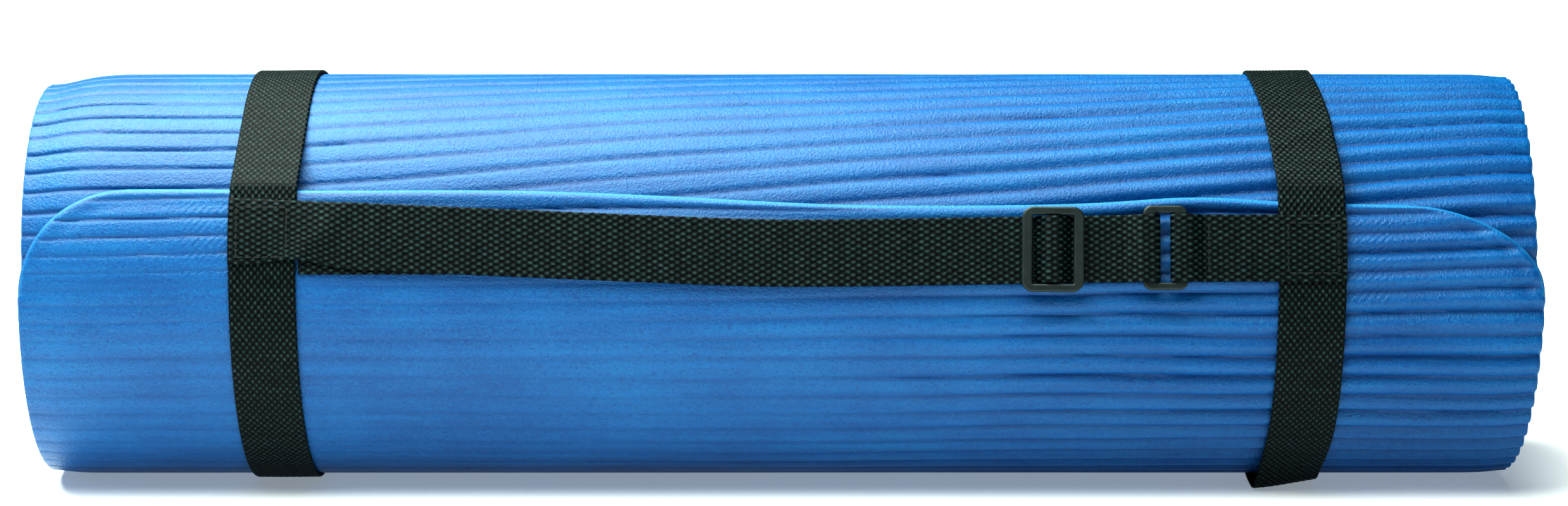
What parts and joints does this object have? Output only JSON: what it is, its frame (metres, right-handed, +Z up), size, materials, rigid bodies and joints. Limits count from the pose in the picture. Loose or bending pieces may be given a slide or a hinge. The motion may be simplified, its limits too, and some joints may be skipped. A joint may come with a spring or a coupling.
{
  "type": "rolled foam sleeping mat with carry harness",
  "caption": "Ribbed closed-cell foam sleeping mat, rolled up and held by two webbing loops joined by an adjustable carry strap.",
  "frame": {"origin": "middle of the whole object's footprint, on the surface that the roll lies on", "axes": "+X along the roll's axis, to the right when the carry strap faces the viewer; the carry strap is at -Y; +Z up"},
  "size_m": [0.61, 0.1856, 0.1694],
  "materials": {
    "foam": "matt blue closed-cell foam with a moulded ribbed skin",
    "webbing": "dark green-black woven polypropylene webbing",
    "fitting": "satin dark grey-green moulded plastic",
    "thread": "dark polyester sewing thread"
  },
  "bodies": {
    "pad": {"foam_pad": "foam"},
    "left_loop": {"band_left": "webbing", "carry_strap": "webbing", "stitches_left_joint": "thread"},
    "right_loop": {"band_right": "webbing", "tab_strap": "webbing", "stitches_right_joint": "thread", "stitches_tab_seam": "thread"},
    "ring": {"strap_ring": "fitting"},
    "slider": {"tri_glide": "fitting"}
  },
  "joints": [
    {"name": "harness_slide", "type": "slide", "parent": "pad", "child": "left_loop", "axis": [1, 0, 0], "range_m": [-0.53, 0.078]},
    {"name": "strap_length", "type": "slide", "parent": "left_loop", "child": "right_loop", "axis": [1, 0, 0], "range_m": [-0.06, 0.075], "deforming": ["carry_strap"]},
    {"name": "ring_swing", "type": "hinge", "parent": "right_loop", "child": "ring", "pos_m": [0.1656, -0.08375, 0.11012], "axis": [0, 0.2385, 0.9711], "range_deg": [0, 20], "deforming": ["carry_strap", "tab_strap"]},
    {"name": "slider_travel", "type": "slide", "parent": "right_loop", "child": "slider", "axis": [0.9999, 0.0038, 0.0155], "range_m": [-0.085, 0.01], "deforming": ["carry_strap"]}
  ]
}
